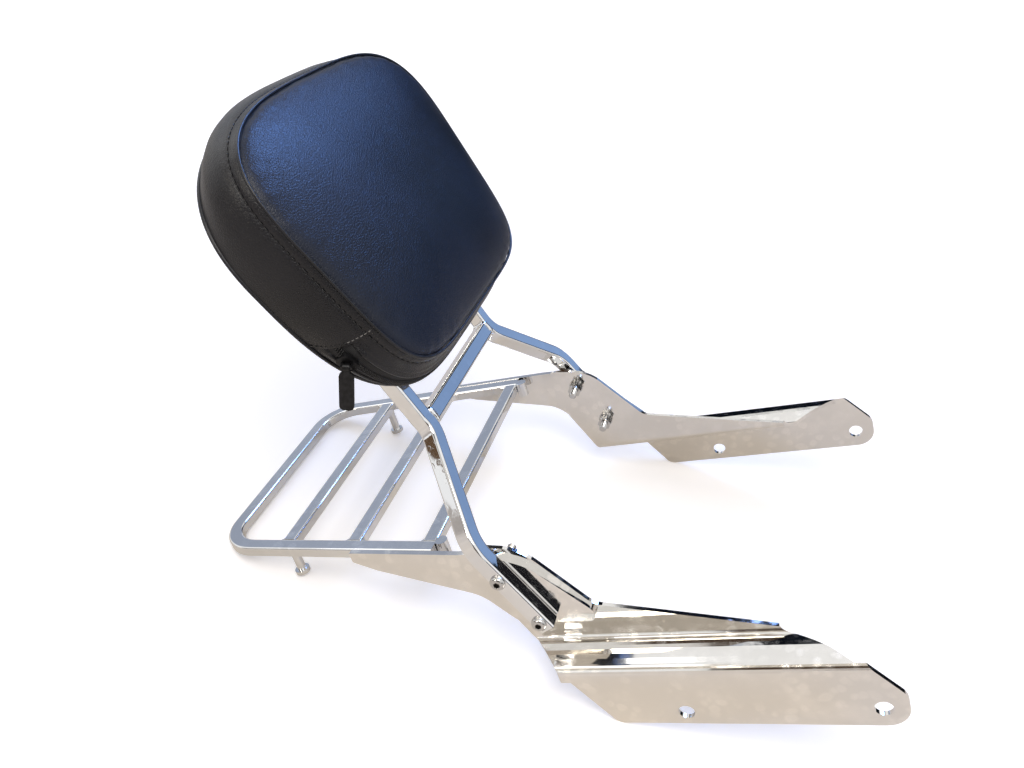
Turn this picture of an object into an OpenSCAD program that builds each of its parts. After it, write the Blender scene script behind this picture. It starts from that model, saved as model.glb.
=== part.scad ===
// Sissy bar for a motorbike: backrest pad on a bent bar frame, with a small
// luggage rack and two folded side brackets. It stands as it rests on a floor,
// on the back of the rack and the heels of the side brackets.
// X points to the front of the bike, Y to its left, Z up.

/* [Frame bars] */
// Side of the square bar that the legs and the hoop are bent from
bar = 12; // [10:0.5:14]
// Rounding of the long edges of the square bar
bar_round = 2; // [0.5:0.25:3]
// Lean of the legs, measured from the floor
leg_lean = 41.3; // [38:0.1:45]
// Half distance between the outer faces of the legs at the bolts
leg_half = 134; // [128:0.5:140]
// Half distance between the outer faces of the hoop behind the pad
hoop_half = 77.5; // [72:0.5:82]
// Outward flare of each leg below the crossbar
flare_angle = 41; // [36:0.5:46]
// Bend radius at the top of the flare, on the middle of the bar
flare_top_r = 20; // [16:1:26]
// Bend radius at the foot of the flare, on the middle of the bar
flare_foot_r = 30; // [24:1:34]
// Length of each leg from the crossbar line to its end
leg_len = 149.5; // [146:0.5:156]
// Height of the crossbar line above the floor
joint_z = 150.7; // [146:0.5:156]
// Lean of the hoop and the pad, measured from the floor
pad_lean = 47.5; // [44:0.1:52]
// Length of the hoop above the crossbar line
hoop_len = 170; // [150:1:180]
// Bend radius of the hoop corners, on the middle of the bar
hoop_r = 32; // [24:1:40]

/* [Leg bolts] */
// Distance from the crossbar line to the upper bolt
bolt_from_joint = 102; // [98:0.5:104]
// Distance between the two bolts of one leg
bolt_pitch = 40; // [34:0.5:41]
// Diameter of the bolts
bolt_d = 6; // [5:0.5:6]
// Clearance hole for the bolts
bolt_hole_d = 6.6; // [6.5:0.1:7]
// Length of each bolt below its head
bolt_len = 36; // [33:1:40]

/* [Luggage rack] */
// Slope of the rack as the object rests
rack_slope = 20.8; // [19:0.1:22]
// Width of the rack bars
rack_w = 11; // [9:0.5:13]
// Height of the rack bars
rack_t = 8; // [6:0.5:9]
// Rounding of the long edges of the rack bars
rack_round = 1.5; // [0.5:0.25:2.5]
// Distance from the rear edge of the rack to its front edge
rack_len = 189; // [180:1:196]
// Outward splay of the side rails towards the front
rack_splay = 4.349488; // [4:0.1:5]
// Outer radius of the rear corners
rack_corner_r = 35.5; // [28:0.5:42]
// Distance from the rear edge to the middle of the rear cross bar
rear_bar_at = 65; // [58:1:72]
// Distance from the rear edge to the middle of the middle cross bar
middle_bar_at = 122; // [114:1:130]
// Radius of the weld fillets where the cross bars meet the rails
weld_r = 6; // [3:0.5:8]
// Thickness of the side plates that carry the rack
plate_t = 4; // [3:0.5:6]
// Distance from the rear edge to the back end of the side plates
plate_start = 125; // [118:1:132]
// Diameter of the support studs below the rack
stud_d = 6.5; // [5:0.5:8]
// Diameter of the feet of the support studs
stud_foot_d = 11; // [9:0.5:14]
// Diameter of the bosses in front of the front cross bar
boss_d = 9; // [7:0.5:11]

/* [Side brackets] */
// Thickness of the folded sheet
sheet = 3; // [2:0.25:4]
// Slope of the side brackets as the object rests
bracket_slope = 22.8; // [21:0.1:24]
// Distance from the upper flat out to the lip
lip_out = 31.5; // [26:0.5:36]
// Inner radius of the fold at the outer edge of the shelf
fold_r = 5; // [3.5:0.25:7]
// Height of the lip below the shelf
lip_h = 47; // [45:0.5:52]
// Radius of the round front end of the lip
lip_end_r = 14.3; // [12:0.1:15]
// Diameter of the hole in the front end of the lip
end_hole_d = 11; // [9:0.1:13]
// Diameter of the hole further back in the lip
rear_hole_d = 10.5; // [8.5:0.1:13]
// Distance between the two holes of the lip, along the bracket
hole_pitch = 116.3; // [100:0.1:120]

/* [Backrest pad] */
// Half width of the front panel at its widest
pad_half = 127; // [122:0.5:134]
// Lower edge of the front panel above the crossbar line
pad_low = 31.5; // [28:0.5:36]
// Upper edge of the front panel above the crossbar line
pad_high = 216.5; // [208:0.5:224]
// Depth from the back of the pad to the front seam
pad_depth = 45; // [38:0.5:52]
// Height of the crown of the front panel
pad_crown = 13; // [8:0.5:18]
// Share by which the pad is wider at its top and narrower at its foot
pad_taper = 0.1; // [0:0.01:0.12]
// Thickness of the cover
skin = 2; // [1.5:0.1:3]
// Thickness of the board inside the pad
board_t = 9; // [6:0.5:12]
// Diameter of the piping along the seams
piping_d = 3; // [2:0.25:4]
// Distance of the zip from the back of the pad
zip_from_back = 18; // [14:0.5:20]
// Length of the zip pull
pull_len = 30; // [24:0.5:34]
// Width of the zip pull
pull_w = 9; // [7:0.5:12]

/* [Hidden] */
$fn = 48;

chrome = [0.80, 0.82, 0.84];
leather = [0.09, 0.10, 0.14];
zip_black = [0.05, 0.05, 0.06];
eps = 0.01;
far = 400;

// The row's origin lies on the floor, midway along the object
origin_shift = -166.5;
joint_x = origin_shift + 80.9;
leg_mid = leg_half - bar / 2;
hoop_mid = hoop_half - bar / 2;
leg_inner = hoop_half - bar;
plate_y = leg_half - bar;
flat_y = plate_y - plate_t;
bolt_rows = [bolt_from_joint, bolt_from_joint + bolt_pitch];

// Rack frame: x runs forward along the rack from the line of its support studs
rack_x = origin_shift;
rack_rear = -79.2;
rack_front = rack_rear + rack_len;
rack_z = rack_round - (rack_rear + rack_round) * sin(rack_slope)
    + (rack_t - rack_round) * cos(rack_slope);
splay_at = 130;
rail_mid_at_splay = flat_y - rack_w / 2 / cos(rack_splay);
function rail_mid(x) = rail_mid_at_splay - (splay_at - x) * tan(rack_splay);
corner_mid_r = rack_corner_r - rack_w / 2;
rear_mid = rack_rear + rack_w / 2;
rail_turn = 90 - rack_splay;
rail_begin = rear_mid + corner_mid_r * (1 - cos(rail_turn));
rear_half = rail_mid(rail_begin) - corner_mid_r * sin(rail_turn);
rail_len = (rack_front - rail_begin) / cos(rack_splay) - rack_w / 2 * tan(rack_splay);
stud_x = rack_rear + rear_bar_at;
stud_y = 96.5;
foot_t = 3;
floor_gap = 0.2;
stud_len = (rack_z + stud_x * sin(rack_slope) - stud_foot_d / 2 * sin(rack_slope) - floor_gap)
    / cos(rack_slope);

// Bracket frame: x runs forward along the bracket, z up from the shelf's inner fold
heel_r = 8;
crease_z = -50;
shelf_top = 3.6;
lip_bottom = crease_z - lip_h;
end_hole = [390.8, lip_bottom + lip_end_r + 0.2];
heel_corner = [230, lip_bottom];
bracket_lift = -1.35;

// Fasteners
head_d = 10.5;
head_h = 3.3;
washer_d = 12;
washer_t = 1.6;
nut_across = 10;
nut_h = 5.2;
key_across = 4;

// Pad
seat_gap = 0.4;
soft_gap = 0.3;
pad_points = 60;
pad_mid = 126;
band_bulge = 6;
strap_w = 25;
strap_t = 4;
strap_rows = [62, 118];
strap_bolt_y = 35;
strap_bolt_len = 14;
tee_d = 18;
pin_d = 2;
running_gap = 0.08;

module on_legs() {
    translate([joint_x, 0, joint_z]) rotate([0, leg_lean, 0]) children();
}

module on_pad() {
    translate([joint_x, 0, joint_z]) rotate([0, pad_lean, 0]) children();
}

module on_rack() {
    translate([rack_x, 0, rack_z]) rotate([0, -rack_slope, 0]) children();
}

module on_bracket() {
    translate([origin_shift, 0, bracket_lift]) rotate([0, -bracket_slope, 0]) children();
}

module both_sides() {
    children();
    mirror([0, 1, 0]) children();
}

module rounded_rect(w, h, r) {
    square([w - 2 * r, h], center = true);
    square([w, h - 2 * r], center = true);
    for (sx = [-1, 1], sy = [-1, 1])
        translate([sx * (w / 2 - r), sy * (h / 2 - r)]) circle(r = r, $fn = 24);
}

// A straight stretch of bar along x
module straight_bar(len, w, h, r) {
    rotate([90, 0, 90]) linear_extrude(len) rounded_rect(w, h, r);
}

// A bend to the left that starts along x; turn the sign of side for a right bend
module bar_bend(angle, radius, w, h, r, side = 1) {
    mirror([0, side > 0 ? 0 : 1, 0])
        translate([0, radius, 0]) rotate([0, 0, -90])
            rotate_extrude(angle = angle, $fn = 96) translate([radius, 0]) rounded_rect(w, h, r);
}

// Places children at the end of such a bend
module after_bend(angle, radius, side = 1) {
    translate([radius * sin(angle), side * radius * (1 - cos(angle)), 0])
        rotate([0, 0, side * angle]) children();
}

// A bend that runs on and is trimmed square at its end, where the next stretch starts
module trimmed_bend(angle, radius, w, h, r, side = 1) {
    difference() {
        bar_bend(angle + 5, radius, w, h, r, side);
        after_bend(angle, radius, side) translate([0, -far / 2, -far / 2]) cube(far);
    }
}

// An outline whose corners are [x, y, radius]
function corner_arc(a, p, b, steps = 8) =
    let (
        to_a = [a[0] - p[0], a[1] - p[1]],
        to_b = [b[0] - p[0], b[1] - p[1]],
        ua = to_a / norm(to_a),
        ub = to_b / norm(to_b),
        half = acos(ua * ub) / 2,
        reach = p[2] / tan(half),
        mid = (ua + ub) / norm(ua + ub),
        centre = [p[0], p[1]] + mid * p[2] / sin(half),
        from = [p[0], p[1]] + ua * reach - centre,
        to = [p[0], p[1]] + ub * reach - centre,
        start = atan2(from[1], from[0]),
        raw = atan2(to[1], to[0]) - start,
        sweep = raw > 180 ? raw - 360 : raw < -180 ? raw + 360 : raw
    )
    p[2] < eps ? [[p[0], p[1]]]
    : [for (i = [0:steps]) centre + p[2] * [cos(start + sweep * i / steps), sin(start + sweep * i / steps)]];

function rounded_outline(c) =
    [for (i = [0:len(c) - 1])
        each corner_arc(c[(i + len(c) - 1) % len(c)], c[i], c[(i + 1) % len(c)])];

// A flat plate in the x-z plane, its outer face at y and its body towards y - t
module plate_xz(outline, y, t) {
    translate([0, y, 0]) rotate([90, 0, 0]) linear_extrude(t) polygon(outline);
}

// Frame bars

// The mitre plane between the legs and the hoop; side 1 keeps what is below it
module mitre_half(side) {
    translate([joint_x, 0, joint_z]) rotate([0, (leg_lean + pad_lean) / 2, 0])
        translate([side > 0 ? 0 : -far, -far / 2, -far / 2]) cube(far);
}

flare_bends = (flare_top_r + flare_foot_r) * (1 - cos(flare_angle));
flare_len = (leg_mid - hoop_mid - flare_bends) / sin(flare_angle);
flare_start = 2;
flare_run = (flare_top_r + flare_foot_r) * sin(flare_angle) + flare_len * cos(flare_angle);
leg_foot_len = leg_len - flare_start - flare_run;

module leg_bar() {
    translate([-bar, hoop_mid, -bar / 2]) {
        straight_bar(bar + flare_start, bar, bar, bar_round);
        translate([bar + flare_start, 0, 0]) {
            bar_bend(flare_angle, flare_top_r, bar, bar, bar_round);
            after_bend(flare_angle, flare_top_r) {
                straight_bar(flare_len, bar, bar, bar_round);
                translate([flare_len, 0, 0]) {
                    bar_bend(flare_angle, flare_foot_r, bar, bar, bar_round, -1);
                    after_bend(flare_angle, flare_foot_r, -1)
                        straight_bar(leg_foot_len, bar, bar, bar_round);
                }
            }
        }
    }
}

module bolt_holes(d) {
    on_legs()
        for (x = bolt_rows)
            translate([x, 0, -bar / 2]) rotate([-90, 0, 0]) cylinder(d = d, h = far);
}

module leg_left() {
    color(chrome) difference() {
        intersection() {
            on_legs() leg_bar();
            mitre_half(1);
        }
        bolt_holes(bolt_hole_d);
    }
}

module leg_right() {
    mirror([0, 1, 0]) leg_left();
}

module hoop_half_bar() {
    straight = hoop_len - hoop_r - bar / 2;
    translate([bar, hoop_mid, -bar / 2]) rotate([0, 0, 180]) {
        straight_bar(bar + straight, bar, bar, bar_round);
        translate([bar + straight, 0, 0]) {
            trimmed_bend(90, hoop_r, bar, bar, bar_round);
            after_bend(90, hoop_r) straight_bar(hoop_mid - hoop_r, bar, bar, bar_round);
        }
    }
}

module upper_hoop() {
    color(chrome) intersection() {
        on_pad() both_sides() hoop_half_bar();
        mitre_half(-1);
    }
}

module crossbar() {
    bend_centre = hoop_mid + flare_top_r;
    color(chrome) on_legs() difference() {
        translate([bar / 2 - flare_start, -hoop_half, -bar / 2]) rotate([0, 0, 90])
            straight_bar(2 * hoop_half, bar, bar, bar_round);
        both_sides() {
            translate([flare_start - far, leg_inner, -far / 2]) cube([far, far, far]);
            translate([flare_start, bend_centre, -bar - 1])
                cylinder(r = bend_centre - leg_inner, h = bar + 2);
        }
    }
}

module pad_strap(row) {
    color(chrome) on_pad() difference() {
        translate([-row - strap_w / 2, -leg_inner, -strap_t])
            cube([strap_w, 2 * leg_inner, strap_t]);
        pad_bolt_spots(bolt_hole_d);
    }
}

module pad_strap_lower() {
    pad_strap(strap_rows[0]);
}

module pad_strap_upper() {
    pad_strap(strap_rows[1]);
}

// Luggage rack

module rail_half() {
    translate([rear_mid, 0, -rack_t / 2]) rotate([0, 0, 90]) {
        straight_bar(rear_half, rack_w, rack_t, rack_round);
        translate([rear_half, 0, 0]) {
            trimmed_bend(rail_turn, corner_mid_r, rack_w, rack_t, rack_round, -1);
            after_bend(rail_turn, corner_mid_r, -1)
                straight_bar(rail_len, rack_w, rack_t, rack_round);
        }
    }
}

module rack_rail() {
    color(chrome) on_rack() both_sides() rail_half();
}

// The inner side of a rail at x
function rail_inner(x) = rail_mid(x) - rack_w / 2 / cos(rack_splay);

// What lies outside the inner face of the rail
module beyond_rail() {
    translate([splay_at, rail_inner(splay_at), -far / 2]) rotate([0, 0, rack_splay])
        translate([-far, 0, 0]) cube([2 * far, far, far]);
}

module weld_fillet(x, side) {
    translate([x, rail_inner(x), -rack_t + rack_round]) difference() {
        translate([side > 0 ? 0 : -weld_r, -weld_r, 0])
            cube([weld_r, 2 * weld_r, rack_t - 2 * rack_round]);
        translate([side * weld_r, -weld_r, -eps]) cylinder(r = weld_r, h = rack_t);
    }
}

module rack_bar(x, weld_sides) {
    color(chrome) on_rack() difference() {
        union() {
            translate([x, -flat_y, -rack_t / 2]) rotate([0, 0, 90])
                straight_bar(2 * flat_y, rack_w, rack_t, rack_round);
            for (side = weld_sides) both_sides() weld_fillet(x + side * rack_w / 2, side);
        }
        both_sides() beyond_rail();
    }
}

module rack_bar_rear() {
    rack_bar(rack_rear + rear_bar_at, [-1]);
}

module rack_bar_middle() {
    rack_bar(rack_rear + middle_bar_at, [-1, 1]);
}

module rack_bar_front() {
    rack_bar(rack_front - rack_w / 2, [-1]);
}

plate_back = rack_rear + plate_start;
plate_outline = rounded_outline([
    [plate_back, 0, 0],
    [plate_back, -rack_t, 2],
    [plate_back + 18, -15, 12],
    [plate_back + 91, -34, 30],
    [plate_back + 113, -59, 12],
    [plate_back + 168, -59, 5],
    [plate_back + 165, -49, 8],
    [plate_back + 130, -12, 40],
    [plate_back + 100, 0, 60]
]);

module plate_part(from, to, t) {
    intersection() {
        plate_xz(plate_outline, t, t);
        translate([from, -far / 2, -far / 2]) cube([to - from, far, far]);
    }
}

module rack_plate_left() {
    color(chrome) difference() {
        on_rack() translate([0, flat_y, 0]) {
            plate_part(splay_at, far, plate_t);
            translate([splay_at, 0, 0]) rotate([0, 0, rack_splay])
                translate([-splay_at, 0, 0]) plate_part(0, splay_at + plate_t * tan(rack_splay), plate_t);
        }
        bolt_holes(bolt_hole_d);
    }
}

module rack_plate_right() {
    mirror([0, 1, 0]) rack_plate_left();
}

module rack_boss_left() {
    boss_h = 12;
    flat_side = 0.7;
    boss_y = rail_mid(rack_front) - rack_w / 2 + 1;
    color(chrome) on_rack() difference() {
        translate([rack_front + boss_d / 2 - flat_side, boss_y, 1 - boss_h])
            cylinder(d = boss_d, h = boss_h);
        translate([rack_front - far, 0, -far / 2]) cube(far);
    }
}

module rack_boss_right() {
    mirror([0, 1, 0]) rack_boss_left();
}

module support_stud_left() {
    color(chrome) on_rack() translate([stud_x, stud_y, -stud_len]) {
        cylinder(d = stud_foot_d, h = foot_t);
        cylinder(d = stud_d, h = stud_len - rack_t);
    }
}

module support_stud_right() {
    mirror([0, 1, 0]) support_stud_left();
}

// Side brackets

flat_outline = rounded_outline([
    [145, 16, 8],
    [152, 32, 10],
    [186, 27, 35],
    [224, -22, 15],
    [337, crease_z + shelf_top, 0],
    [337, crease_z - 8, 0],
    [179, crease_z - 8, 0]
]);

lip_outline = rounded_outline([
    [383, crease_z + 4, 0],
    [end_hole[0] + lip_end_r, end_hole[1] + 10, 13],
    [end_hole[0] + lip_end_r, end_hole[1] - lip_end_r, lip_end_r - 0.3],
    [heel_corner[0] - 2, heel_corner[1] + 1.5, heel_r],
    [196, crease_z + 4, 0]
]);

shelf_rear = [[175, -sheet], [176.5, 0], [198, lip_out]];
shelf_front = [[382, lip_out], [366, lip_out * 0.55], [347, lip_out * 0.1], [338, 0], [335, -sheet]];

// The outer face of the folded section, as [out, up] from the flat's outer face
crease_r = 3;
shelf_rise = 2;
fold_out_r = fold_r;
shelf_end = [lip_out - fold_out_r, crease_z + shelf_rise];
function fold_path(d) = concat(
    [[-d, 60]],
    [for (a = [180:15:270]) [crease_r, crease_z + crease_r] + (crease_r + d) * [cos(a), sin(a)]],
    [for (i = [1:5])
        let (t = i / 6, run = shelf_end[0] - crease_r)
        [crease_r + run * t, crease_z + shelf_rise * t + 2 * sin(180 * t) - d]],
    [for (a = [90:-15:0])
        [shelf_end[0], shelf_end[1] - fold_out_r] + (fold_out_r - d) * [cos(a), sin(a)]],
    [[lip_out - d, lip_bottom - 10]]
);

module fold_section() {
    outer = fold_path(0);
    inner = fold_path(sheet);
    polygon(concat(outer, [for (i = [len(inner) - 1:-1:0]) inner[i]]));
}

module bracket_left() {
    color(chrome) difference() {
        on_bracket() translate([0, flat_y, 0]) {
            intersection() {
                rotate([90, 0, 90]) linear_extrude(far + 40) fold_section();
                union() {
                    plate_xz(flat_outline, eps, sheet + 2 * eps);
                    plate_xz(lip_outline, lip_out + eps, sheet + 2 * eps);
                    translate([0, 0, crease_z - 9]) linear_extrude(9 + shelf_top)
                        polygon(concat(shelf_rear, shelf_front));
                }
            }
        }
        bolt_holes(bolt_hole_d);
        on_bracket() {
            translate([end_hole[0], 0, end_hole[1]]) rotate([-90, 0, 0])
                cylinder(d = end_hole_d, h = far);
            translate([end_hole[0] - hole_pitch, 0, end_hole[1] - 3]) rotate([-90, 0, 0])
                cylinder(d = rear_hole_d, h = far);
        }
    }
}

module bracket_right() {
    mirror([0, 1, 0]) bracket_left();
}

// Leg fasteners

module at_leg_bolts(y) {
    both_sides() on_legs()
        for (x = bolt_rows)
            translate([x, y, -bar / 2]) rotate([90, 0, 0]) children();
}

module button_bolt(shank_len) {
    difference() {
        union() {
            translate([0, 0, -head_h]) cylinder(d1 = head_d * 0.55, d2 = head_d, h = head_h);
            cylinder(d = bolt_d, h = shank_len);
        }
        translate([0, 0, -head_h - eps]) cylinder(d = key_across / cos(30), h = 2, $fn = 6);
    }
}

module leg_bolts() {
    color(chrome) at_leg_bolts(leg_half) button_bolt(bolt_len);
}

washer_y = flat_y - sheet;

module leg_washers() {
    color(chrome) at_leg_bolts(washer_y) ring(washer_d, bolt_hole_d, washer_t);
}

module leg_lock_washers() {
    color(chrome) at_leg_bolts(washer_y - washer_t) ring(washer_d - 2, bolt_hole_d, washer_t);
}

module leg_nuts() {
    color(chrome) at_leg_bolts(washer_y - 2 * washer_t) difference() {
        cylinder(d = nut_across / cos(30), h = nut_h, $fn = 6);
        translate([0, 0, -eps]) cylinder(d = bolt_d, h = nut_h + 2 * eps);
    }
}

module ring(outer_d, inner_d, h) {
    difference() {
        cylinder(d = outer_d, h = h);
        translate([0, 0, -eps]) cylinder(d = inner_d, h = h + 2 * eps);
    }
}

// Backrest pad

function signed_power(v, p) = sign(v) * pow(abs(v), p);

// The pad's rounded outline at angle t, from the back seam at f 0 to the front seam at f 1.
// It swells at the top, is rounder at the back and falls away below.
function pad_half_at(f) = pad_half + 2.8 * (1 - f) + 0.4 * band_bulge * sin(180 * f);
function pad_low_at(f) = pad_low - 17 * (1 - f);
function pad_high_at(f) = pad_high + 5 * (1 - f) + band_bulge * sin(180 * f);
function pad_edge(t, f, inset, k = 1) =
    let (
        low_n = 2.7 + 2.8 * f,
        high_n = 2.4 + 0.95 * f,
        n = sin(t) < 0 ? low_n : high_n,
        reach = sin(t) < 0 ? pad_mid - pad_low_at(f) : pad_high_at(f) - pad_mid,
        up = k * signed_power(sin(t), 2 / n)
    )
    [
        -pad_mid - (reach - inset) * up,
        k * (pad_half_at(f) - inset) * signed_power(cos(t), 2 / n) * (1 + pad_taper * up)
    ];

function pad_ring(z, f, inset, k = 1) =
    [for (i = [0:pad_points - 1])
        let (p = pad_edge(360 * i / pad_points, f, inset, k))
        [p[0], p[1], z]];

function crown_z(k) = pad_depth + pad_crown * (1 - pow(k, 2.6));
crown_steps = [0.97, 0.9, 0.78, 0.6, 0.4, 0.18];
band_steps = [0, 0.12, 0.3, 0.5, 0.7, 0.88, 1];

// A solid through closed rings of equal length
module loft(rings) {
    n = len(rings[0]);
    m = len(rings);
    polyhedron(
        points = [for (r = rings) each r],
        faces = concat(
            [[for (i = [0:n - 1]) i]],
            [for (j = [0:m - 2], i = [0:n - 1])
                [j * n + i, (j + 1) * n + i, (j + 1) * n + (i + 1) % n]],
            [for (j = [0:m - 2], i = [0:n - 1])
                [j * n + i, (j + 1) * n + (i + 1) % n, j * n + (i + 1) % n]],
            [[for (i = [n - 1:-1:0]) (m - 1) * n + i]]
        )
    );
}

module band_solid(inset, low, high) {
    loft([for (s = band_steps) pad_ring(low + (high - low) * s, s, inset)]);
}

module crown_solid(inset, drop) {
    loft(concat(
        [pad_ring(pad_depth - drop, 1, inset)],
        [for (k = crown_steps) pad_ring(crown_z(k) - drop, 1, inset, k)]
    ));
}

band_low = seat_gap + piping_d + soft_gap;
band_high = pad_depth - piping_d / 2 - soft_gap;

module pad_side_band() {
    color(leather) on_pad() difference() {
        band_solid(0, band_low, band_high);
        band_solid(skin, band_low - eps, band_high + eps);
    }
}

module pad_front_panel() {
    lift = piping_d / 2 + soft_gap;
    color(leather) on_pad() translate([0, 0, lift]) difference() {
        crown_solid(0, 0);
        crown_solid(skin, skin);
    }
}

module pad_back_panel() {
    color(leather) on_pad() translate([0, 0, seat_gap]) difference() {
        linear_extrude(skin) polygon([for (p = pad_ring(0, 0, skin + 0.3)) [p[0], p[1]]]);
        pad_bolt_spots(bolt_hole_d);
    }
}

board_z = seat_gap + skin;

module pad_bolt_spots(d) {
    for (row = strap_rows, side = [-1, 1])
        translate([-row, side * strap_bolt_y, -far / 2]) cylinder(d = d, h = far);
}

module pad_board() {
    color([0.62, 0.48, 0.32]) on_pad() difference() {
        translate([0, 0, board_z]) linear_extrude(board_t)
            polygon([for (p = pad_ring(0, 0, skin + 4)) [p[0], p[1]]]);
        pad_bolt_spots(bolt_hole_d + 1.4);
    }
}

module pad_foam() {
    foam_z = board_z + board_t + 1;
    color([0.85, 0.82, 0.55]) on_pad() difference() {
        union() {
            intersection() {
                band_solid(skin + soft_gap, band_low, band_high);
                translate([-far, -far / 2, foam_z]) cube(far);
            }
            crown_solid(skin + soft_gap, skin + soft_gap);
        }
        for (row = strap_rows, side = [-1, 1])
            translate([-row, side * strap_bolt_y, 0]) cylinder(d = bolt_hole_d + 2, h = foam_z + 6);
    }
}

// Round section of the piping at angle t of the pad's edge
function bead_section(t, f, z) =
    [for (a = [0:60:300])
        let (p = pad_edge(t, f, -piping_d / 2 * cos(a)))
        [p[0], p[1], z + piping_d / 2 * sin(a)]];

module piping(f, z) {
    rings = [for (i = [0:pad_points - 1]) bead_section(360 * i / pad_points, f, z)];
    n = len(rings[0]);
    polyhedron(
        points = [for (r = rings) each r],
        faces = [for (j = [0:pad_points - 1], i = [0:n - 1], half = [0, 1])
            let (next = (j + 1) % pad_points, side = (i + 1) % n)
            half == 0
            ? [j * n + i, next * n + i, next * n + side]
            : [j * n + i, next * n + side, j * n + side]]
    );
}

module pad_front_piping() {
    color(leather) on_pad() piping(1, pad_depth);
}

module pad_back_piping() {
    color(leather) on_pad() piping(0, seat_gap + piping_d / 2);
}

// Section of a strip that follows the band, from low to high above its surface
zip_start = 192;
zip_end = 348;
zip_step = 6;
zip_lift = 0.9;
function strip_section(t, w, low, high) =
    [for (p = [[-1, low], [1, low], [1, high], [-1, high]])
        let (
            z = zip_from_back + p[0] * w / 2,
            e = pad_edge(t, (z - band_low) / (band_high - band_low), -p[1])
        )
        [e[0], e[1], z]];

module zip_strip(w, low, high) {
    loft([for (t = [zip_start:zip_step:zip_end]) strip_section(t, w, low, high)]);
}

tape_t = 1;
coil_w = 5;
coil_h = 1.6;
coil_low = zip_lift + tape_t + soft_gap;

module zip_tape() {
    color(zip_black) on_pad() zip_strip(16, zip_lift, zip_lift + tape_t);
}

module zip_coil() {
    color(zip_black) on_pad() zip_strip(coil_w, coil_low, coil_low + coil_h);
}

slider_t = 198;
zip_f = (zip_from_back - band_low) / (band_high - band_low);
slider_at = pad_edge(slider_t, zip_f, -coil_low);
slider_ahead = pad_edge(slider_t + 4, zip_f, -coil_low);
slider_turn = atan2(slider_ahead[1] - slider_at[1], slider_ahead[0] - slider_at[0]);
slider_len = 12;
slider_w = 9;
slider_h = 3.4;
eye_r = pin_d / 2 + running_gap;
eye_wall = 1.2;
eye_w = 4;
cheek_t = 1.2;
pin_out = slider_h + eye_r + eye_wall + soft_gap;

// The way out of the slider, and the pin of the pull, in the frame of the whole part
function pad_to_world(p) = [
    p[0] * cos(pad_lean) + p[2] * sin(pad_lean),
    p[1],
    -p[0] * sin(pad_lean) + p[2] * cos(pad_lean)
];
pull_out = pad_to_world([sin(slider_turn), -cos(slider_turn), 0]);
pull_turn = atan2(pull_out[0], -pull_out[1]);
pull_dip = asin(-pull_out[2]);
pull_at = [joint_x, 0, joint_z] + pad_to_world([slider_at[0], slider_at[1], zip_from_back])
    + pin_out * pull_out;

module on_slider() {
    on_pad() translate([slider_at[0], slider_at[1], zip_from_back]) rotate([0, 0, slider_turn])
        children();
}

module on_pull_pin() {
    translate(pull_at) rotate([0, 0, pull_turn]) children();
}

// The slider rides over the coil, and two cheeks on its back hold the pin of the pull
module zip_slider() {
    channel_h = coil_h + 0.4;
    cheek_x = eye_w / 2 + soft_gap;
    color(zip_black) union() {
        on_slider() difference() {
            rotate([90, 0, 0]) linear_extrude(slider_h) rounded_rect(slider_len, slider_w, 2);
            translate([-slider_len, -channel_h, -coil_w / 2 - 0.3])
                cube([2 * slider_len, channel_h + 1, coil_w + 0.6]);
        }
        on_pull_pin() {
            rotate([0, 90, 0]) cylinder(d = pin_d, h = 2 * cheek_x + cheek_t, center = true);
            rotate([pull_dip, 0, 0]) for (side = [0, 1]) mirror([side, 0, 0])
                translate([cheek_x, -pin_d / 2, -pin_d / 2])
                    cube([cheek_t, pin_out - slider_h + pin_d / 2 + 0.5, pin_d]);
        }
    }
}

module zip_pull() {
    tab_t = 2;
    neck = 3.5;
    color(zip_black) on_pull_pin() difference() {
        union() {
            rotate([0, 90, 0]) cylinder(r = eye_r + eye_wall, h = eye_w, center = true);
            rotate([90, 0, 0]) linear_extrude(tab_t, center = true) {
                translate([-eye_w / 2, -neck - 2]) square([eye_w, neck + 2]);
                translate([0, -neck - (pull_len - neck) / 2])
                    rounded_rect(pull_w, pull_len - neck, 3);
            }
        }
        rotate([0, 90, 0]) cylinder(r = eye_r, h = far, center = true);
    }
}

// Pad fasteners

module at_pad_bolts(z) {
    on_pad()
        for (row = strap_rows, side = [-1, 1])
            translate([-row, side * strap_bolt_y, z]) children();
}

module pad_washers() {
    color(chrome) at_pad_bolts(-strap_t - washer_t) ring(washer_d, bolt_hole_d, washer_t);
}

module pad_bolts() {
    color(chrome) at_pad_bolts(-strap_t - washer_t) union() {
        translate([0, 0, -4]) cylinder(d = nut_across / cos(30), h = 4, $fn = 6);
        cylinder(d = bolt_d, h = strap_bolt_len + strap_t + washer_t);
    }
}

module pad_tee_nuts() {
    color(chrome) at_pad_bolts(board_z + board_t) difference() {
        union() {
            cylinder(d = tee_d, h = 1);
            translate([0, 0, -6]) cylinder(d = bolt_hole_d + 1.4, h = 6);
        }
        translate([0, 0, -far / 2]) cylinder(d = bolt_d, h = far);
    }
}

leg_right();
leg_left();
crossbar();
upper_hoop();
pad_strap_lower();
pad_strap_upper();
rack_rail();
rack_bar_rear();
rack_bar_middle();
rack_bar_front();
rack_plate_right();
rack_plate_left();
rack_boss_right();
rack_boss_left();
support_stud_right();
support_stud_left();
bracket_right();
bracket_left();
leg_bolts();
leg_washers();
leg_lock_washers();
leg_nuts();
pad_board();
pad_foam();
pad_front_panel();
pad_side_band();
pad_back_panel();
pad_front_piping();
pad_back_piping();
zip_tape();
zip_coil();
zip_slider();
zip_pull();
pad_bolts();
pad_washers();
pad_tee_nuts();
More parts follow.
